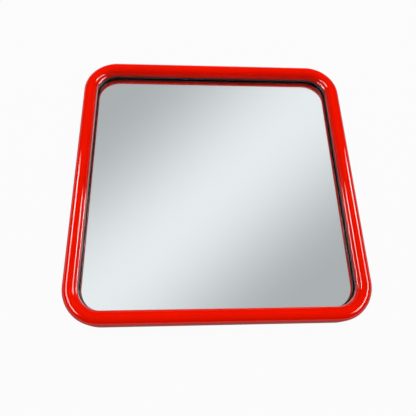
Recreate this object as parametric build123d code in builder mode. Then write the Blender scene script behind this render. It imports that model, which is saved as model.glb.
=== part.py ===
"""Square wall mirror in a moulded red frame with a rounded front, lying on its back.

Millimetres. X runs to the right and Y to the top of the mirror, Z out of its face. The origin is in
the middle of the back, on the plane of the frame's back rim. Each piece is built where it sits, and
exported under its own name.
"""

from build123d import *
from math import acos, asin, cos, degrees, radians, sin, sqrt
import os

# Frame, a hollow moulding that is open at the back
overall = 460.0
depth = 32.0
face_width = 22.0
corner_radius = 57.0
wall = 2.8
lip_drop = 3.9
edge_round = 0.5
rebate_reach = 5.2
rebate_wall = 2.2
rib_wall = 1.6
rib_setback = 1.5
rib_pitch = 55.0

# Bead between the frame's lip and the glass
bead_height = 4.0
bead_nose_height = 2.3
bead_reach = 0.5
bead_web = 1.2
bead_gap = 0.1
key_height = 3.0
key_gap = 0.2

# Glass and what lies behind it
glass_thickness = 4.0
glass_gap = 0.2
glass_arris = 0.5
coat_thickness = 0.15
coat_margin = 0.6
foam_thickness = 1.45
foam_margin = 6.0
foam_hole_radius = 4.5
panel_thickness = 2.5
panel_gap = 0.6

# Screws that hold the back panel: one at each corner and two on each side, on that rib from the middle
screw_rib = 2
screw_radius = 1.45
screw_gap = 0.05
screw_depth = 10.0
screw_head_radius = 3.0
screw_head_height = 1.8
screw_head_round = 0.8
screw_slot_length = 3.4
screw_slot_width = 0.7
screw_slot_depth = 1.1
screw_clearance = 0.25
screw_tip_gap = 1.5
boss_radius = 3.6

# Hangers: a folded strap with two rivets and a D-ring
hanger_spacing = 260.0
hanger_height = 140.0
strap_width = 10.0
strap_length = 28.0
strap_sheet = 0.8
strap_end_round = 3.0
knuckle_gap = 0.06
knuckle_mouth = 0.4
wire_radius = 1.0
ring_width = 17.0
ring_height = 14.0
ring_bend = 3.0
rivet_first = 8.0
rivet_pitch = 12.0
rivet_radius = 1.5
rivet_gap = 0.05
rivet_head_radius = 3.0
rivet_head_height = 1.2
rivet_head_round = 0.9
rivet_tail_radius = 2.75
rivet_tail_height = 0.6

# Frame sizes that follow: the tube is the rounded front, its centreline runs round the square
tube_radius = face_width / 2
cavity_radius = tube_radius - wall
tube_reach = overall / 2 - tube_radius
tube_corner = corner_radius - tube_radius
straight_half = overall / 2 - corner_radius
ribs_each_way = int((straight_half - rib_wall) / rib_pitch)
tube_z = depth - tube_radius
rebate_offset = rebate_reach - tube_radius

# Heights of the stack, from the lip backwards
lip_z = tube_z - lip_drop
glass_front_z = lip_z - bead_height
glass_back_z = glass_front_z - glass_thickness
coat_back_z = glass_back_z - coat_thickness
panel_front_z = coat_back_z - foam_thickness
panel_back_z = panel_front_z - panel_thickness

# Half sizes of the flat sheets, from the opening that the frame leaves
sight_half = overall / 2 - face_width
sight_corner = corner_radius - face_width
glass_reach = rebate_reach - bead_gap - bead_web - glass_gap
panel_reach = face_width - wall - panel_gap

# Bosses stand in the channel between the rebate wall and the outer wall
boss_offset = (rebate_offset + rebate_wall + cavity_radius) / 2
boss_root = (cavity_radius + sqrt(tube_radius**2 - (boss_offset + boss_radius) ** 2)) / 2

# The strap curls round the ring's bar until its end comes up to the mouth below the plate
eye_radius = wire_radius + knuckle_gap
knuckle_radius = eye_radius + strap_sheet
knuckle_z = panel_back_z - knuckle_radius
knuckle_curl = 270 + degrees(asin((eye_radius - knuckle_mouth) / knuckle_radius))

SIDES = (0, 90, 180, 270)


def outward(turn):
    """The direction from the middle of the mirror to one side."""
    return Vector(cos(radians(turn)), sin(radians(turn)), 0)


def along(turn):
    """The direction of one side, counter-clockwise as seen from the front."""
    return Vector(-sin(radians(turn)), cos(radians(turn)), 0)


def station(turn, distance):
    """A plane across the tube, at a distance along one side: x points outward and y to the front."""
    return Plane(
        origin=outward(turn) * tube_reach + along(turn) * distance,
        x_dir=outward(turn),
        z_dir=-along(turn),
    )


def corner_centre(turn):
    """The centre of the corner that follows one side."""
    return outward(turn) * straight_half + along(turn) * straight_half


def corner_station(turn):
    """A plane across the tube in the middle of a corner, made like the one that station gives."""
    middle = turn + 45
    return Plane(
        origin=corner_centre(turn) + outward(middle) * tube_corner,
        x_dir=outward(middle),
        z_dir=-along(middle),
    )


def run_round(draw_section):
    """Runs a section round the rounded square: four straight sides, each with the corner after it."""
    for turn in SIDES:
        section = draw_section(station(turn, straight_half))
        extrude(section, amount=2 * straight_half)
        revolve(section, axis=Axis(corner_centre(turn), (0, 0, 1)), revolution_arc=90)


def sheet_outline(reach):
    """A rounded square that covers the opening and goes on under the frame by the given reach."""
    side = 2 * (sight_half + reach)
    with BuildSketch() as outline:
        RectangleRounded(side, side, sight_corner + reach)
    return outline.sketch


def frame_section(plane):
    """The moulding: an arch with a long outer wall and a short inner lip, and the rebate wall inside it."""
    rebate_far = rebate_offset + rebate_wall
    rebate_root = (
        sqrt(cavity_radius**2 - rebate_far**2) + sqrt(tube_radius**2 - rebate_offset**2)
    ) / 2
    lip_tolerance = edge_round / 2
    with BuildSketch(plane) as section:
        with BuildLine():
            Line((tube_radius, 0), (tube_radius, tube_z))
            CenterArc((0, tube_z), tube_radius, 0, 180)
            Line((-tube_radius, tube_z), (-tube_radius, lip_z))
            Line((-tube_radius, lip_z), (-cavity_radius, lip_z))
            Line((-cavity_radius, lip_z), (-cavity_radius, tube_z))
            CenterArc((0, tube_z), cavity_radius, 180, -180)
            Line((cavity_radius, tube_z), (cavity_radius, 0))
            Line((cavity_radius, 0), (tube_radius, 0))
        make_face()
        fillet(section.vertices().group_by(Axis.Y)[0], edge_round)
        lip_end = section.vertices().filter_by_position(Axis.Y, lip_z - lip_tolerance, lip_z + lip_tolerance)
        fillet(lip_end, edge_round)
        with Locations((rebate_offset, panel_front_z)):
            Rectangle(rebate_wall, tube_z + rebate_root - panel_front_z, align=(Align.MIN, Align.MIN))
    return section.sketch


def rib_section(plane):
    """A rib that fills the channel behind the arch, and ends inside the walls on both sides."""
    inner = rebate_offset + rebate_wall / 2
    radius = cavity_radius + wall / 2
    bottom = panel_front_z + rib_setback
    turn = degrees(acos(inner / radius))
    with BuildSketch(plane) as section:
        with BuildLine():
            arch = CenterArc((0, tube_z), radius, 0, turn)
            Line(arch @ 1, (inner, bottom))
            Line((inner, bottom), (radius, bottom))
            Line((radius, bottom), arch @ 0)
        make_face()
    return section.sketch


def bead_section(plane):
    """The bead: a round nose on the glass that stands in past the lip, a neck up to the lip, a key in the groove behind it, a web beside the glass."""
    nose_radius = bead_nose_height / 2
    neck = nose_radius - bead_reach - tube_radius
    outer = rebate_offset - bead_gap
    key_inner = -cavity_radius + key_gap
    with BuildSketch(plane) as section:
        with BuildLine():
            CenterArc((neck, glass_front_z + nose_radius), nose_radius, 90, 180)
            Polyline(
                (neck, glass_front_z + bead_nose_height),
                (neck, lip_z),
                (key_inner, lip_z),
                (key_inner, lip_z + key_height),
                (outer - key_gap, lip_z + key_height),
                (outer - key_gap, lip_z),
                (outer, lip_z),
                (outer, coat_back_z),
                (outer - bead_web, coat_back_z),
                (outer - bead_web, glass_front_z),
                (neck, glass_front_z),
            )
        make_face()
    return section.sketch


def screw_points():
    """Where the panel is screwed to the frame: two places on each side and one in each corner."""
    points = []
    for turn in SIDES:
        for distance in (-screw_rib * rib_pitch, screw_rib * rib_pitch):
            points.append(outward(turn) * (tube_reach + boss_offset) + along(turn) * distance)
        points.append(corner_centre(turn) + outward(turn + 45) * (tube_corner + boss_offset))
    return [(point.X, point.Y) for point in points]


def rivet_points(x):
    """Where one hanger is riveted to the panel, below its knuckle."""
    return [(x, hanger_height - rivet_first), (x, hanger_height - rivet_first - rivet_pitch)]


hanger_sides = {"left": -hanger_spacing / 2, "right": hanger_spacing / 2}
all_rivet_points = [point for x in hanger_sides.values() for point in rivet_points(x)]

# Frame: the moulding, its ribs, and the bosses with the holes that the screws have cut in them
with BuildPart() as front_frame:
    run_round(frame_section)
    for turn in SIDES:
        for rib in range(-ribs_each_way, ribs_each_way + 1):
            extrude(rib_section(station(turn, rib * rib_pitch)), amount=rib_wall / 2, both=True)
        extrude(rib_section(corner_station(turn)), amount=rib_wall / 2, both=True)
    with BuildSketch(Plane.XY.offset(panel_front_z)):
        with Locations(*screw_points()):
            Circle(boss_radius)
    extrude(amount=tube_z + boss_root - panel_front_z)
    with BuildSketch(Plane.XY.offset(panel_front_z)):
        with Locations(*screw_points()):
            Circle(screw_radius + screw_gap)
    extrude(amount=screw_depth - panel_thickness + screw_tip_gap, mode=Mode.SUBTRACT)
front_frame.part.label = "front_frame"

# Bead
with BuildPart() as glass_gasket:
    run_round(bead_section)
glass_gasket.part.label = "glass_gasket"

# Glass, with its edges ground off
with BuildPart() as mirror_glass:
    with BuildSketch(Plane.XY.offset(glass_back_z)):
        add(sheet_outline(glass_reach))
    extrude(amount=glass_thickness)
    chamfer(faces().filter_by(Axis.Z).edges(), glass_arris)
mirror_glass.part.label = "mirror_glass"

# Reflecting coat with its paint, a little smaller than the glass
with BuildPart() as mirror_silvering:
    with BuildSketch(Plane.XY.offset(coat_back_z)):
        add(sheet_outline(glass_reach - coat_margin))
    extrude(amount=coat_thickness)
mirror_silvering.part.label = "mirror_silvering"

# Foam sheet, cut out round the tails of the hanger rivets
with BuildPart() as foam_pad:
    with BuildSketch(Plane.XY.offset(panel_front_z)):
        add(sheet_outline(glass_reach - foam_margin))
        with Locations(*all_rivet_points):
            Circle(foam_hole_radius, mode=Mode.SUBTRACT)
    extrude(amount=foam_thickness)
foam_pad.part.label = "foam_pad"

# Back panel, let into the frame and drilled for the screws and the rivets
with BuildPart() as back_panel:
    with BuildSketch(Plane.XY.offset(panel_back_z)):
        add(sheet_outline(panel_reach))
        with Locations(*screw_points()):
            Circle(screw_radius + screw_clearance, mode=Mode.SUBTRACT)
        with Locations(*all_rivet_points):
            Circle(rivet_radius + rivet_gap, mode=Mode.SUBTRACT)
    extrude(amount=panel_thickness)
back_panel.part.label = "back_panel"

# One pan-head screw with a cross recess, its head below the panel and its shank pointing up
with BuildPart() as pan_screw:
    with BuildSketch(Plane.XY.offset(panel_back_z)):
        Circle(screw_head_radius)
    extrude(amount=-screw_head_height)
    fillet(edges().group_by(Axis.Z)[0], screw_head_round)
    with BuildSketch(Plane.XY.offset(panel_back_z - screw_head_height)):
        Rectangle(screw_slot_length, screw_slot_width)
        Rectangle(screw_slot_width, screw_slot_length)
    extrude(amount=screw_slot_depth, mode=Mode.SUBTRACT)
    with BuildSketch(Plane.XY.offset(panel_back_z)):
        Circle(screw_radius)
    extrude(amount=screw_depth)

with BuildPart() as back_panel_screws:
    with Locations(*screw_points()):
        add(pan_screw.part)
back_panel_screws.part.label = "back_panel_screws"

finished = [
    front_frame,
    glass_gasket,
    mirror_glass,
    mirror_silvering,
    foam_pad,
    back_panel,
    back_panel_screws,
]

for side, x in hanger_sides.items():
    # Strap: a flat plate that curls round the ring's bar
    with BuildPart() as hanger_strap:
        with BuildSketch(Plane.YZ.offset(x - strap_width / 2)):
            with BuildLine():
                eye = (hanger_height, knuckle_z)
                plate_end = hanger_height - strap_length
                outside = CenterArc(eye, knuckle_radius, 90, -knuckle_curl)
                inside = CenterArc(eye, eye_radius, 90, -knuckle_curl)
                Line(outside @ 1, inside @ 1)
                Line(outside @ 0, (plate_end, panel_back_z))
                Line((plate_end, panel_back_z), (plate_end, panel_back_z - strap_sheet))
                Line((plate_end, panel_back_z - strap_sheet), inside @ 0)
            make_face()
        extrude(amount=strap_width)
        fillet(edges().filter_by(Axis.Z).group_by(Axis.Y)[0], strap_end_round)
        with BuildSketch(Plane.XY.offset(panel_back_z - strap_sheet)):
            with Locations(*rivet_points(x)):
                Circle(rivet_radius + rivet_gap)
        extrude(amount=strap_sheet, mode=Mode.SUBTRACT)
    hanger_strap.part.label = f"{side}_hanger_strap"

    # D-ring: a wire bent to a straight bar, two short sides and a half circle
    with BuildPart() as hanger_ring:
        with BuildLine(Plane((x, hanger_height, knuckle_z))) as ring_path:
            half = ring_width / 2
            bow_y = ring_height - half
            Line((0, 0), (half - ring_bend, 0))
            CenterArc((half - ring_bend, ring_bend), ring_bend, -90, 90)
            Line((half, ring_bend), (half, bow_y))
            CenterArc((0, bow_y), half, 0, 180)
            Line((-half, bow_y), (-half, ring_bend))
            CenterArc((-half + ring_bend, ring_bend), ring_bend, 180, 90)
            Line((-half + ring_bend, 0), (0, 0))
        with BuildSketch(Plane(ring_path.line @ 0, z_dir=(1, 0, 0))):
            Circle(wire_radius)
        sweep(path=ring_path.line)
    hanger_ring.part.label = f"{side}_hanger_ring"

    # Rivets: a domed head on the strap, a shank through strap and panel, a tail spread on the panel
    with BuildPart() as hanger_rivets:
        rivet_head_z = panel_back_z - strap_sheet
        with BuildSketch(Plane.XY.offset(rivet_head_z)):
            with Locations(*rivet_points(x)):
                Circle(rivet_head_radius)
        extrude(amount=-rivet_head_height)
        fillet(edges().group_by(Axis.Z)[0], rivet_head_round)
        with BuildSketch(Plane.XY.offset(rivet_head_z)):
            with Locations(*rivet_points(x)):
                Circle(rivet_radius)
        extrude(amount=strap_sheet + panel_thickness)
        with BuildSketch(Plane.XY.offset(panel_front_z)):
            with Locations(*rivet_points(x)):
                Circle(rivet_tail_radius)
        extrude(amount=rivet_tail_height)
    hanger_rivets.part.label = f"{side}_hanger_rivets"

    finished += [hanger_strap, hanger_ring, hanger_rivets]

os.makedirs("parts", exist_ok=True)
for piece in finished:
    export_step(piece.part, f"parts/{piece.part.label}.step")
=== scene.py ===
"""Looks, stage and camera for a square wall mirror with a red moulded frame.

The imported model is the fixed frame. Each operator dresses one piece or one group of like pieces, and the
last one sets the stage. Lengths are in metres, and small ones are written as millimetres times MM.
"""

import bpy
import numpy as np
from bpy.props import FloatProperty, FloatVectorProperty, PointerProperty
from mathutils import Matrix, Vector


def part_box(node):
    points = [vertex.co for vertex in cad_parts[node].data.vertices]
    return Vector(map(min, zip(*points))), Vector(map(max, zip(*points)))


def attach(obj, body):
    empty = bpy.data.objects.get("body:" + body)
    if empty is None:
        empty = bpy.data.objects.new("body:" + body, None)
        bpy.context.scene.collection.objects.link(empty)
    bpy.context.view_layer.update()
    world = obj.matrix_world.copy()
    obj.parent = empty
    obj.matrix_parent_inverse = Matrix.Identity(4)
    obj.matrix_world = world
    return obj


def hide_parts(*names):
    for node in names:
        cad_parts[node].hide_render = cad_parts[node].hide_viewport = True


bl_info = {
    "name": "Square wall mirror",
    "version": (1, 0, 0),
    "blender": (4, 5, 0),
    "location": "3D View > Sidebar > Mirror",
    "description": "Dresses a square wall mirror in a moulded frame and sets its stage",
    "category": "Object",
}

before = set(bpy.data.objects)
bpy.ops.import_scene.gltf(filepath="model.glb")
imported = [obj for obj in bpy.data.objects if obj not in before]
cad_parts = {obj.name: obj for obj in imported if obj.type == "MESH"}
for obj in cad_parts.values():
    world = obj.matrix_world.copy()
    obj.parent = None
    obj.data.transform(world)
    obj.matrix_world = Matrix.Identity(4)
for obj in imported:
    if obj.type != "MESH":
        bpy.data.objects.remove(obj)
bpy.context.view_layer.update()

MM = 0.001
RUN_HALF = 173 * MM  # half the straight run of a side, where its rounded corner starts
WHITE = (1, 1, 1, 1)


def linear(code):
    """Turns an sRGB hex colour into linear red, green, blue and alpha."""
    parts = np.array([int(code[i : i + 2], 16) for i in (1, 3, 5)]) / 255
    flat = np.where(parts <= 0.04045, parts / 12.92, ((parts + 0.055) / 1.055) ** 2.4)
    return (*(float(x) for x in flat), 1.0)


def toned(colour, *scale):
    """A colour with its red, green and blue scaled, by one number or by three."""
    return (*(min(1.0, float(x)) for x in np.array(colour[:3]) * np.array(scale)), 1.0)


def tint(name, code, words):
    """A colour property with a hex default."""
    return FloatVectorProperty(
        name=name, description=words, default=linear(code), subtype="COLOR", size=4, min=0, max=1
    )


class MirrorFinishes(bpy.types.PropertyGroup):
    """The colours and surface values that change how the mirror looks."""

    plastic: tint("Frame colour", "#DB1000", "Colour of the moulded ABS frame")
    plastic_roughness: FloatProperty(
        name="Frame roughness",
        description="Roughness of the polished face of the frame",
        default=0.03,
        min=0,
        max=1,
        subtype="FACTOR",
    )
    bead: tint("Bead colour", "#2A2827", "Colour of the soft PVC bead")
    glass: tint("Glass tint", "#FCFEFD", "Tint of the clear float glass")
    silver: tint("Silver colour", "#F6F7F6", "Colour of the silvered coat")
    foam: tint("Foam colour", "#C9CBC8", "Colour of the polyethylene foam pad")
    board: tint("Board colour", "#8A6240", "Colour of the hardboard back")
    zinc: tint("Zinc colour", "#C4C8CC", "Colour of the zinc-plated screws and rivets")
    nickel: tint("Nickel colour", "#D6CFC4", "Colour of the nickel-plated straps and rings")


class MirrorStage(bpy.types.PropertyGroup):
    """The camera, the lights and the dome."""

    lens: FloatProperty(
        name="Lens",
        description="Focal length on a 36 mm sensor, in millimetres",
        default=32.498,
        min=10,
        max=200,
    )
    place: FloatVectorProperty(
        name="Camera place",
        description="Where the camera stands",
        default=(-0.05339, -0.26732, 0.58048),
        subtype="TRANSLATION",
        unit="LENGTH",
    )
    target: FloatVectorProperty(
        name="Camera target",
        description="The point that the camera looks at",
        default=(-0.01547, -0.05186, 0.0213),
        subtype="TRANSLATION",
        unit="LENGTH",
    )
    roll: FloatProperty(
        name="Camera roll",
        description="Turn of the camera about its own line of sight",
        default=float(np.radians(-9.264)),
        subtype="ANGLE",
        unit="ROTATION",
    )
    fill: FloatProperty(
        name="Fill", description="Level of the even light from all round", default=0.55, min=0, max=2
    )
    key: FloatProperty(
        name="Key",
        description="Power of the broad lamp above the far side, in watts",
        default=16.0,
        min=0,
        max=500,
    )
    strip: FloatProperty(
        name="Strip",
        description="Brightness of the two long softboxes as gloss shows them",
        default=12.0,
        min=0,
        max=40,
    )
    dome_dark: tint("Dome, dark end", "#B3B7BA", "Tone of the graduated dome at its dark end")
    dome_bright: tint("Dome, bright end", "#F1F4F8", "Tone of the graduated dome at its bright end")


def add(tree, kind, inputs=(), out=0, **settings):
    """Adds one node and returns one of its outputs, or the node itself where out is None.

    Settings are the node's own properties. Its inputs come in order, or by name or number, and each takes a
    value or another node's output.
    """
    made = tree.nodes.new("ShaderNode" + kind)
    for key, value in settings.items():
        setattr(made, key, value)
    for key, value in inputs.items() if isinstance(inputs, dict) else enumerate(inputs):
        if isinstance(value, bpy.types.NodeSocket):
            tree.links.new(value, made.inputs[key])
        else:
            made.inputs[key].default_value = value
    return made if out is None else made.outputs[out]


def bare(name):
    """A new material with nothing in its node tree."""
    material = bpy.data.materials.new(name)
    material.use_nodes = True
    material.node_tree.nodes.clear()
    return material, material.node_tree


def surface(name, **values):
    """A new material with a Principled shader of the given values.

    It comes with its node tree, the shader's sockets, and the Object coordinates that patterns start from.
    """
    material, tree = bare(name)
    inputs = {key.replace("_", " "): value for key, value in values.items()}
    shader = add(tree, "BsdfPrincipled", inputs, None)
    add(tree, "OutputMaterial", {"Surface": shader.outputs[0]}, None)
    return material, tree, shader.inputs, add(tree, "TexCoord", out="Object")


def patches(tree, place, size, span=None, to=None, detail=3.0, roughness=0.55, stretch=None):
    """Noise whose lumps are about the given size in metres, drawn out along an axis where stretch is given.

    Where a span of its values is given, it is mapped to another and held at the ends.
    """
    if stretch:
        place = add(tree, "Mapping", {"Vector": place, "Scale": stretch})
    inputs = {"Vector": place, "Scale": 1 / size, "Detail": detail, "Roughness": roughness}
    lumps = add(tree, "TexNoise", inputs)
    return add(tree, "MapRange", (lumps, *span, *to)) if span else lumps


def run_distance(tree, place):
    """How far a point stands off the square whose corners are the centres of the frame's rounded corners.

    It is the length of the part of |x|, |y| that passes the half run, so it stays the same along the frame.
    """
    corner = (RUN_HALF, RUN_HALF, 0)
    flat = add(tree, "VectorMath", (place, (1, 1, 0)), operation="MULTIPLY")
    folded = add(tree, "VectorMath", (flat,), operation="ABSOLUTE")
    past = add(tree, "VectorMath", (folded, corner), operation="SUBTRACT")
    held = add(tree, "VectorMath", (past, (0, 0, 0)), operation="MAXIMUM")
    return add(tree, "VectorMath", (held,), "Value", operation="LENGTH")


def dress(material, *nodes):
    """Gives CAD nodes a material in place of their plain one."""
    for name in nodes:
        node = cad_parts[name]
        if not node.material_slots:
            node.data.materials.append(material)
        for held in node.material_slots:
            held.material = material


class MIRROR_OT_frame(bpy.types.Operator):
    """Finishes the frame in gloss moulded ABS"""

    bl_idname = "mirror.frame"
    bl_label = "Moulded frame"
    bl_options = {"REGISTER", "UNDO"}

    def execute(self, context):
        # Injection-moulded ABS from a polished cavity: deep even colour, crisp highlights that wander a
        # little where the plastic shrank, and a dull spark-eroded skin on the side that the core formed.
        # Handling leaves faint dull patches, and hairlines that are drawn wide enough to show.
        finishes = context.scene.mirror_finishes
        material, tree, sockets, place = surface("abs_gloss_red_moulded", IOR=1.53)
        colour = tuple(finishes.plastic)
        deeper = patches(tree, place, 60 * MM, (0.35, 0.7), (0, 1), detail=2)
        red = add(tree, "Mix", {0: deeper, 6: colour, 7: toned(colour, 0.93)}, 2, data_type="RGBA")
        tree.links.new(red, sockets["Base Color"])
        facing = add(tree, "SeparateXYZ", (add(tree, "NewGeometry", out="Normal"),), 2)
        core_side = add(tree, "MapRange", (facing, -0.6, -0.2, 0.3, 0))
        handled = patches(tree, place, 30 * MM, (0.5, 0.8), (0, 0.01), 3, 0.5)
        hairlines = patches(tree, place, 1.1 * MM, (0.8, 0.88), (0, 0.02), 2, 0.5, (1, 0.04, 1))
        rough = finishes.plastic_roughness
        for more in (hairlines, handled, core_side):
            rough = add(tree, "Math", (more, rough), operation="ADD")
        tree.links.new(rough, sockets["Roughness"])
        sink = patches(tree, place, 30 * MM, detail=1, roughness=0.4)
        wave = add(tree, "Bump", {"Strength": 1.0, "Distance": 0.003 * MM, "Height": sink})
        tree.links.new(wave, sockets["Normal"])
        dress(material, "front_frame")
        return {"FINISHED"}


class MIRROR_OT_bead(bpy.types.Operator):
    """Finishes the bead in soft black PVC"""

    bl_idname = "mirror.bead"
    bl_label = "Glazing bead"
    bl_options = {"REGISTER", "UNDO"}

    def execute(self, context):
        # Extruded soft PVC: near black, satin, with faint die lines that follow its length and a little
        # bloom.
        material, tree, sockets, place = surface("pvc_black_extruded", IOR=1.53)
        colour = tuple(context.scene.mirror_finishes.bead)
        bloom = patches(tree, place, 9 * MM, (0.45, 0.8), (0, 0.5), detail=4)
        bloomed = add(tree, "Mix", {0: bloom, 6: colour, 7: toned(colour, 1.9)}, 2, data_type="RGBA")
        tree.links.new(bloomed, sockets["Base Color"])
        tree.links.new(patches(tree, place, 4 * MM, (0.3, 0.7), (0.36, 0.46)), sockets["Roughness"])
        line_pitch = 0.5 * MM
        turns = add(tree, "Math", (run_distance(tree, place), 2 * np.pi / line_pitch), operation="MULTIPLY")
        lines = add(tree, "Math", (turns,), operation="SINE")
        bump = add(tree, "Bump", {"Strength": 0.25, "Distance": 0.01 * MM, "Height": lines})
        tree.links.new(bump, sockets["Normal"])
        dress(material, "glass_gasket")
        return {"FINISHED"}


class MIRROR_OT_plate(bpy.types.Operator):
    """Finishes the glass and its silvered coat"""

    bl_idname = "mirror.plate"
    bl_label = "Silvered glass"
    bl_options = {"REGISTER", "UNDO"}

    def execute(self, context):
        finishes = context.scene.mirror_finishes
        # Clear float glass: perfectly smooth, faint green from its iron, and dust that only just dulls it,
        # in specks drawn large enough to show.
        clear = {"Transmission_Weight": 1.0, "Base_Color": tuple(finishes.glass)}
        material, tree, sockets, place = surface("glass_float_clear", IOR=1.52, **clear)
        dust = patches(tree, place, 0.9 * MM, (0.74, 0.82), (0, 0.03), detail=1)
        tree.links.new(dust, sockets["Roughness"])
        dress(material, "mirror_glass")
        # Silver deposited from solution, under copper and paint: a true mirror with the least warm tint.
        silver, tree, sockets, place = surface("silver_deposited", Metallic=1.0)
        colour = tuple(finishes.silver)
        cloud = patches(tree, place, 80 * MM, detail=2)
        warm = toned(colour, 1, 0.995, 0.985)
        warmed = add(tree, "Mix", {0: cloud, 6: colour, 7: warm}, 2, data_type="RGBA")
        tree.links.new(warmed, sockets["Base Color"])
        haze = patches(tree, place, 30 * MM, (0.3, 0.7), (0.0, 0.004), detail=2)
        tree.links.new(haze, sockets["Roughness"])
        # Curtain-coated backing paint: flat grey with the faint orange peel of its oven cure.
        grey = linear("#70777B")
        paint, tree, sockets, place = surface("backing_paint_curtain_coated", Base_Color=grey, IOR=1.5)
        peel = patches(tree, place, 1.5 * MM, detail=2)
        tree.links.new(add(tree, "MapRange", (peel, 0.3, 0.7, 0.45, 0.6)), sockets["Roughness"])
        bump = add(tree, "Bump", {"Strength": 0.2, "Distance": 0.02 * MM, "Height": peel})
        tree.links.new(bump, sockets["Normal"])
        self.coat(silver, paint)
        return {"FINISHED"}

    def coat(self, silver, paint):
        """The silver and its paint, as one sheet on the back of the glass.

        Its rim is a rounded square, drawn at the front and at the back: a point of it stands at the centre
        of its corner plus the corner's radius times (cos t, sin t), and t goes once round. One many-sided
        face closes each side. The front stands 0.03 mm into the glass, as deposited silver is one with it,
        so that no two faces lie in one plane.
        """
        low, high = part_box("mirror_silvering")
        corner = high.x - RUN_HALF
        steps = 25
        count = 4 * steps
        quarter = np.pi / 2
        turn = np.repeat(np.arange(4) * quarter, steps) + np.tile(np.linspace(0, quarter, steps), 4)
        centre = np.repeat(np.array([[1, 1], [-1, 1], [-1, -1], [1, -1]]), steps, 0) * RUN_HALF
        rim = centre + corner * np.stack([np.cos(turn), np.sin(turn)], -1)
        into_glass = 0.03 * MM
        front = high.z + into_glass
        back = low.z
        points = np.concatenate([np.c_[rim, np.full(count, front)], np.c_[rim, np.full(count, back)]])
        side = np.arange(count)
        after = (side + 1) % count
        edge = np.stack([side + count, after + count, after, side], -1)
        faces = [side.tolist(), (side[::-1] + count).tolist(), *edge.tolist()]
        mesh = bpy.data.meshes.new("silvered_coat")
        mesh.from_pydata(points.tolist(), [], faces)
        mesh.materials.append(silver)
        mesh.materials.append(paint)
        mesh.polygons.foreach_set("material_index", [0] + [1] * (len(faces) - 1))
        made = bpy.data.objects.new("silvered_coat", mesh)
        bpy.context.scene.collection.objects.link(made)
        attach(made, "mirror")
        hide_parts("mirror_silvering")


class MIRROR_OT_back(bpy.types.Operator):
    """Finishes the foam pad and the board that closes the back"""

    bl_idname = "mirror.back"
    bl_label = "Foam and board"
    bl_options = {"REGISTER", "UNDO"}

    def execute(self, context):
        finishes = context.scene.mirror_finishes
        self.foam(tuple(finishes.foam))
        self.board(tuple(finishes.board))
        return {"FINISHED"}

    def foam(self, colour):
        # Foamed polyethylene sheet: closed cells a millimetre or so across, matt.
        material, tree, sockets, place = surface("polyethylene_foamed", IOR=1.5, Roughness=0.8)
        cells = add(tree, "TexVoronoi", {"Vector": place, "Scale": 1 / (1.4 * MM)}, "Distance")
        # Each cell is darkened towards its edge, where the bump below dents a groove between cells: painted
        # shade.
        cell_edge_shade = add(tree, "MapRange", (cells, 0.2, 0.7, 0, 1))
        foam_with_painted_shade = add(tree, "Mix", {0: cell_edge_shade, 6: colour, 7: toned(colour, 0.72)}, 2, data_type="RGBA")
        tree.links.new(foam_with_painted_shade, sockets["Base Color"])
        bump = add(tree, "Bump", {"Strength": 0.5, "Distance": 0.2 * MM, "Height": cells}, invert=True)
        tree.links.new(bump, sockets["Normal"])
        dress(material, "foam_pad")

    def board(self, colour):
        # Wet-pressed hardboard, smooth face out: brown, with dark and pale fibre bundles lying all ways,
        # and a light sheen from the press plate.
        material, tree, sockets, place = surface("hardboard_pressed", IOR=1.5)
        dark, pale = toned(colour, 0.45), toned(colour, 1.6)
        cloud = patches(tree, place, 35 * MM, (0.35, 0.7), (0, 0.5), detail=4)
        brown = add(tree, "Mix", {0: cloud, 6: colour, 7: toned(colour, 0.8)}, 2, data_type="RGBA")
        # Fibre bundles about 0.9 mm wide and 6 to 9 mm long: their turn, how they are drawn out, their
        # colour, and the level of the noise above which they show.
        bundles = (
            (0.6, (1, 0.12, 1), dark, 0.62),
            (2.0, (1, 0.1, 1), pale, 0.64),
            (3.7, (1, 0.15, 1), dark, 0.66),
        )
        for turn, stretch, shade, low in bundles:
            turned = add(tree, "Mapping", {"Vector": place, "Rotation": (0, 0, turn)})
            strands = patches(tree, turned, 0.9 * MM, (low, low + 0.09), (0, 0.8), 1, 0.4, stretch)
            brown = add(tree, "Mix", {0: strands, 6: brown, 7: shade}, 2, data_type="RGBA")
        tree.links.new(brown, sockets["Base Color"])
        felt = patches(tree, place, 0.7 * MM, detail=4, roughness=0.6)
        tree.links.new(add(tree, "MapRange", (felt, 0.3, 0.7, 0.42, 0.62)), sockets["Roughness"])
        bump = add(tree, "Bump", {"Strength": 0.4, "Distance": 0.05 * MM, "Height": felt})
        tree.links.new(bump, sockets["Normal"])
        dress(material, "back_panel")


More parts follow.
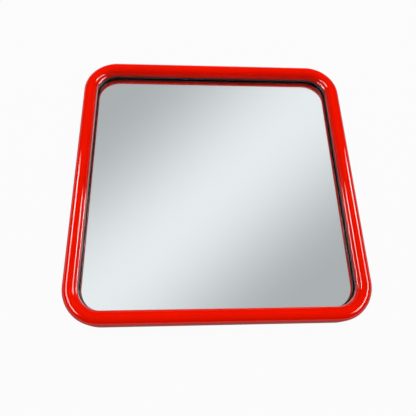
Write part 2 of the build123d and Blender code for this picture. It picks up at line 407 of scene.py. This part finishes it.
class MIRROR_OT_fixings(bpy.types.Operator):
    """Finishes the screws, rivets, straps and rings"""

    bl_idname = "mirror.fixings"
    bl_label = "Screws, rivets, straps and rings"
    bl_options = {"REGISTER", "UNDO"}

    def execute(self, context):
        finishes = context.scene.mirror_finishes
        self.zinc(tuple(finishes.zinc))
        self.nickel(tuple(finishes.nickel))
        return {"FINISHED"}

    def zinc(self, colour):
        # Bright zinc plate with a clear passivate: pale bluish metal, slightly cloudy, with rack and barrel
        # scuffs.
        material, tree, sockets, place = surface("steel_zinc_plated", Metallic=1.0)
        cloud = patches(tree, place, 2.5 * MM, (0.35, 0.7), (0, 1))
        dull = toned(colour, 0.82, 0.82, 0.8)
        clouded = add(tree, "Mix", {0: cloud, 6: colour, 7: dull}, 2, data_type="RGBA")
        tree.links.new(clouded, sockets["Base Color"])
        scuffs = patches(tree, place, 0.4 * MM, (0.35, 0.75), (0.26, 0.44), 4, 0.6)
        tree.links.new(scuffs, sockets["Roughness"])
        bump = add(tree, "Bump", {"Strength": 0.2, "Distance": 0.02 * MM, "Height": scuffs})
        tree.links.new(bump, sockets["Normal"])
        dress(material, "back_panel_screws", "left_hanger_rivets", "right_hanger_rivets")

    def nickel(self, colour):
        # Bright nickel on drawn wire and pressed strip: warmer than zinc, glossy, with drawing lines along
        # the strip, coarse enough to show.
        material, tree, sockets, place = surface("steel_nickel_plated", Metallic=1.0)
        cloud = patches(tree, place, 6 * MM, (0.35, 0.75), (0, 1))
        clouded = add(tree, "Mix", {0: cloud, 6: colour, 7: toned(colour, 0.85)}, 2, data_type="RGBA")
        tree.links.new(clouded, sockets["Base Color"])
        lines = patches(tree, place, 0.3 * MM, detail=3, roughness=0.5, stretch=(1, 0.06, 1))
        tree.links.new(add(tree, "MapRange", (lines, 0.3, 0.7, 0.14, 0.26)), sockets["Roughness"])
        bump = add(tree, "Bump", {"Strength": 0.12, "Distance": 0.01 * MM, "Height": lines})
        tree.links.new(bump, sockets["Normal"])
        dress(material, "left_hanger_strap", "right_hanger_strap", "left_hanger_ring", "right_hanger_ring")


def stage_sheet(name, points):
    """A sheet of the stage from a grid of points, with a face between each four neighbours."""
    rows, columns = points.shape[:2]
    index = np.arange(rows * columns).reshape(rows, columns)
    faces = np.stack([index[:-1, :-1], index[:-1, 1:], index[1:, 1:], index[1:, :-1]], -1).reshape(-1, 4)
    mesh = bpy.data.meshes.new(name)
    mesh.from_pydata(points.reshape(-1, 3).tolist(), [], faces.tolist())
    made = bpy.data.objects.new(name, mesh)
    bpy.context.scene.collection.objects.link(made)
    return made


def flat_sheet(name, centre, across, along):
    """A flat rectangle of the stage.

    Its point at (s, t) is the centre plus s times across plus t times along.
    """
    s, t = np.meshgrid((-0.5, 0.5), (-0.5, 0.5))
    offset = s[..., None] * np.array(across) + t[..., None] * np.array(along)
    return stage_sheet(name, np.array(centre) + offset)


def glow(name, build, clear=False):
    """A material that only emits: build adds its nodes and returns the colour and strength.

    A clear one hides nothing behind it.
    """
    material, tree = bare(name)
    colour, strength = build(tree)
    shader = add(tree, "Emission", {"Color": colour, "Strength": strength})
    if clear:
        shader = add(tree, "AddShader", (shader, add(tree, "BsdfTransparent")))
    add(tree, "OutputMaterial", {"Surface": shader}, None)
    return material


def ray_kinds(tree):
    """Whether a ray comes from the camera, and whether it comes off gloss or through glass."""
    rays = add(tree, "LightPath", out=None).outputs
    gloss = add(tree, "Math", (rays["Is Glossy Ray"], rays["Is Transmission Ray"]), operation="MAXIMUM")
    return rays["Is Camera Ray"], gloss


class MIRROR_OT_stage(bpy.types.Operator):
    """Sets the floor, the lights and the camera"""

    bl_idname = "mirror.stage"
    bl_label = "Stage and camera"
    bl_options = {"REGISTER", "UNDO"}

    def execute(self, context):
        stage = context.scene.mirror_stage
        self.floor()
        self.world(stage)
        self.lamps(stage)
        self.softboxes(stage)
        self.camera(context, stage)
        self.dome(stage)
        return {"FINISHED"}

    def floor(self):
        """A pale matt floor, which the camera sees as white."""
        side = 60
        drop = 0.2 * MM  # so that the back rim doesn't lie in the floor's plane
        made = flat_sheet("floor", (0, 0, -drop), (side, 0, 0), (0, side, 0))
        material, tree = bare("floor_matt_white_paper")
        plain = add(tree, "BsdfDiffuse", {"Color": linear("#8E8E8E")})
        white = add(tree, "Emission", {"Color": WHITE, "Strength": 1.0})
        # Gloss sees the floor as white as the camera does, except round the object: there a painted shadow
        # takes the white away, wholly up to 80 mm off the run's square and less and less out to 450 mm.
        place = add(tree, "TexCoord", out="Object")
        outside_painted_shadow = add(tree, "MapRange", (run_distance(tree, place), 80 * MM, 450 * MM, 0.0, 1.0))
        camera, gloss = ray_kinds(tree)
        # painted shadow: gloss gets the white only away from the object
        gloss_past_painted_shadow = add(tree, "Math", (gloss, outside_painted_shadow), operation="MULTIPLY")
        shown = add(tree, "Math", (camera, gloss_past_painted_shadow), operation="MAXIMUM")
        most_white = 0.95  # the share that is left keeps the object's shadow
        share = add(tree, "Math", (shown, most_white), operation="MULTIPLY")
        add(tree, "OutputMaterial", {"Surface": add(tree, "MixShader", (share, plain, white))}, None)
        made.data.materials.append(material)

    def world(self, stage):
        """White to the camera, even light to matt surfaces, and a studio to gloss."""
        world = bpy.data.worlds.new("studio")
        bpy.context.scene.world = world
        world.use_nodes = True
        tree = world.node_tree
        tree.nodes.clear()
        parts = add(tree, "SeparateXYZ", (add(tree, "TexCoord", out="Generated"),), None).outputs
        # Gloss sees the white backdrop just above the floor, a dim wall over it, paler on the far side, and
        # a dark studio overhead and behind the camera.
        edge = add(tree, "MapRange", (parts[2], 0.02, 0.12, 1.0, 0.0))
        edge_far = add(tree, "MapRange", (parts[1], -0.5, 0.3, 0.1, 1.0))
        backdrop = add(tree, "Math", (edge, edge_far), operation="MULTIPLY")
        wall_high = add(tree, "MapRange", (parts[2], 0.1, 0.75, 0.4, 0.01))
        wall_far = add(tree, "MapRange", (parts[1], -0.35, 0.75, 0.03, 1.0))
        wall = add(tree, "Math", (wall_high, wall_far), operation="MULTIPLY")
        studio = add(tree, "Math", (backdrop, wall), operation="MAXIMUM")
        camera, gloss = ray_kinds(tree)
        level = add(tree, "Mix", {0: gloss, 2: stage.fill, 3: studio})
        level = add(tree, "Mix", {0: camera, 2: level, 3: 1.0})
        back = add(tree, "Background", {"Color": WHITE, "Strength": level})
        add(tree, "OutputWorld", {"Surface": back}, None)

    def lamps(self, stage):
        """A broad soft lamp above the far side, and one overhead. Gloss doesn't show them."""
        lamps = (
            ("lamp_far", (0, 1.0, 1.3), 1.6, stage.key),
            ("lamp_top", (0, 0.1, 1.9), 1.8, stage.key * 1.1),
        )
        for name, place, size, power in lamps:
            light = bpy.data.lights.new(name, "AREA")
            light.shape = "SQUARE"
            light.size = size
            light.energy = power
            made = bpy.data.objects.new(name, light)
            made.location = place
            made.rotation_euler = (-Vector(place)).to_track_quat("-Z", "Y").to_euler()
            bpy.context.scene.collection.objects.link(made)
            made.visible_glossy = made.visible_transmission = made.visible_camera = False

    def softboxes(self, stage):
        """Two long softboxes, left and right, that only gloss shows: they draw the streaks on the frame.

        Their faces are brightest along the middle, and fade to the edges as diffusion cloth does. The
        plate's own picture of them is left out: from the camera it takes a ray three steps, through the
        glass, off the silver and out again.
        """
        out = 0.7  # how far each stands to its side
        high = 0.6
        middle = -0.05  # of its length, a little to the near side
        width = 0.25
        length = 1.0
        plate_steps = 3

        def face(tree):
            place = add(tree, "SeparateXYZ", (add(tree, "TexCoord", out="Object"),), None).outputs
            side = add(tree, "Math", (place[0],), operation="ABSOLUTE")
            aside = add(tree, "Math", (side, out), operation="SUBTRACT")
            aside = add(tree, "Math", (aside,), operation="ABSOLUTE")
            ahead = add(tree, "Math", (place[1], middle), operation="SUBTRACT")
            ahead = add(tree, "Math", (ahead,), operation="ABSOLUTE")
            steps = add(tree, "LightPath", out="Ray Depth")
            in_plate = add(tree, "Math", (steps, plate_steps, 0.5), operation="COMPARE")
            level = stage.strip
            for part in (
                add(tree, "MapRange", (aside, 0.03, 0.08, 1, 0)),
                add(tree, "MapRange", (ahead, length * 0.4, length / 2, 1, 0)),
                # The far ends are nearer to the cloth's lamp.
                add(tree, "MapRange", (place[1], 0.0, 0.25, 1.0, 2.0)),
                add(tree, "Math", (1.0, in_plate), operation="SUBTRACT"),
            ):
                level = add(tree, "Math", (part, level), operation="MULTIPLY")
            return (1, 0.99, 0.98, 1), level

        material = glow("softbox_face", face, clear=True)
        for name, side in (("softbox_left", -1), ("softbox_right", 1)):
            # Its face is square to the line from the mirror's middle.
            across = width * np.array([side * 0.65, 0, -0.76])
            made = flat_sheet(name, (side * out, middle, high), across, (0, length, 0))
            made.data.materials.append(material)
            made.visible_camera = made.visible_diffuse = made.visible_shadow = False

    def camera(self, context, stage):
        """Stands at its place, looks at its target, and is turned by its roll."""
        place, target = Vector(stage.place), Vector(stage.target)
        forward = (target - place).normalized()
        side = forward.cross(Vector((0, 0, 1))).normalized()
        upright = side.cross(forward)
        turned = upright * np.cos(stage.roll) + side * np.sin(stage.roll)
        right = forward.cross(turned)
        made = bpy.data.objects.new("camera", bpy.data.cameras.new("camera"))
        made.data.sensor_fit = "HORIZONTAL"
        made.data.sensor_width = 36
        made.data.lens = stage.lens
        made.data.clip_start = 10 * MM
        rows = zip(right, turned, -forward, place)
        made.matrix_world = Matrix((*rows, (0, 0, 0, 1)))
        context.scene.collection.objects.link(made)
        context.scene.camera = made
        context.scene.view_settings.view_transform = "Standard"

    def dome(self, stage):
        """A graduated dome that the mirror alone shows.

        Its point at (turn t, height angle h) is the radius times (cos h cos t, cos h sin t, sin h). It is
        bright along a band that crosses it from the near left to the far right, and its tone falls away as
        a cosine on both sides. Lower down, and towards its left, right and near sides, it is a dim wall.
        Lowest of all it is the backdrop, which is white on the far side and grey on the near one.
        """
        radius = 6
        t, h = np.meshgrid(np.linspace(0, 2 * np.pi, 65), np.linspace(0, np.pi / 2, 17))
        points = radius * np.stack([np.cos(h) * np.cos(t), np.cos(h) * np.sin(t), np.sin(h)], -1)
        made = stage_sheet("graduated_dome", points)
        across = (0.6663, -0.7170, 0.2052)  # square to the bright band
        past = 0.218  # how far the room's middle stands past the band
        fall = 2.306  # how far the tone takes to fall to its dark end

        def build(tree):
            place = add(tree, "TexCoord", out="Object")
            parts = add(tree, "SeparateXYZ", (place,), None).outputs
            reach = add(tree, "VectorMath", (place, across), "Value", operation="DOT_PRODUCT")
            off_band = add(tree, "Math", (reach, past), operation="ADD")
            off_band = add(tree, "Math", (off_band,), operation="ABSOLUTE")
            half_turn = add(tree, "MapRange", (off_band, 0, fall, 0, float(np.pi)))
            wave = add(tree, "Math", (half_turn,), operation="COSINE")
            share = add(tree, "MapRange", (wave, -1, 1, 0, 1))
            ends = {6: tuple(stage.dome_dark), 7: tuple(stage.dome_bright)}
            tone = add(tree, "Mix", {0: share, **ends}, 2, data_type="RGBA")
            left = add(tree, "MapRange", (parts[0], -2.5, -1.9, 1, 0))
            right = add(tree, "MapRange", (parts[0], 2.8, 3.4, 0, 1))
            near = add(tree, "MapRange", (parts[1], -0.3, 0.3, 1, 0))
            beside = add(tree, "Math", (left, right), operation="MAXIMUM")
            beside = add(tree, "Math", (beside, near), operation="MAXIMUM")
            below = add(tree, "MapRange", (parts[2], 2.6, 4.2, 1.0, 0.0))
            lowest = add(tree, "MapRange", (parts[2], 0.3, 1.6, 1.0, 0.0))
            far = add(tree, "MapRange", (parts[1], -1.5, 2.0, 0, 1))
            backdrop = add(tree, "Mix", {0: far, 6: linear("#8A8D90"), 7: WHITE}, 2, data_type="RGBA")
            dim = linear("#5A5E61")
            for cover, shade in ((beside, dim), (below, dim), (lowest, backdrop)):
                tone = add(tree, "Mix", {0: cover, 6: tone, 7: shade}, 2, data_type="RGBA")
            return tone, 1.0

        made.data.materials.append(glow("dome_graduated", build))
        made.visible_camera = made.visible_diffuse = made.visible_shadow = False
        members = bpy.data.collections.new("dome_receivers")
        for piece in (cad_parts["mirror_glass"], bpy.data.objects["silvered_coat"]):
            members.objects.link(piece)
        made.light_linking.receiver_collection = members


class MIRROR_PT_panel(bpy.types.Panel):
    """Lists the steps that dress the mirror"""

    bl_idname = "MIRROR_PT_panel"
    bl_label = "Square wall mirror"
    bl_space_type = "VIEW_3D"
    bl_region_type = "UI"
    bl_category = "Mirror"

    def draw(self, context):
        for step in STEPS:
            self.layout.operator(step.bl_idname)
        for group in (context.scene.mirror_finishes, context.scene.mirror_stage):
            box = self.layout.box()
            for name in group.bl_rna.properties.keys():
                if name not in ("rna_type", "name"):
                    box.prop(group, name)


STEPS = (
    MIRROR_OT_frame,
    MIRROR_OT_bead,
    MIRROR_OT_plate,
    MIRROR_OT_back,
    MIRROR_OT_fixings,
    MIRROR_OT_stage,
)
CLASSES = (MirrorFinishes, MirrorStage, *STEPS, MIRROR_PT_panel)


def register():
    for kind in CLASSES:
        bpy.utils.register_class(kind)
    bpy.types.Scene.mirror_finishes = PointerProperty(type=MirrorFinishes)
    bpy.types.Scene.mirror_stage = PointerProperty(type=MirrorStage)


def unregister():
    del bpy.types.Scene.mirror_finishes
    del bpy.types.Scene.mirror_stage
    for kind in reversed(CLASSES):
        bpy.utils.unregister_class(kind)


def main():
    """Registers the classes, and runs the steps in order."""
    register()
    for step in STEPS:
        group, name = step.bl_idname.split(".")
        getattr(getattr(bpy.ops, group), name)()


if __name__ == "__main__":
    main()
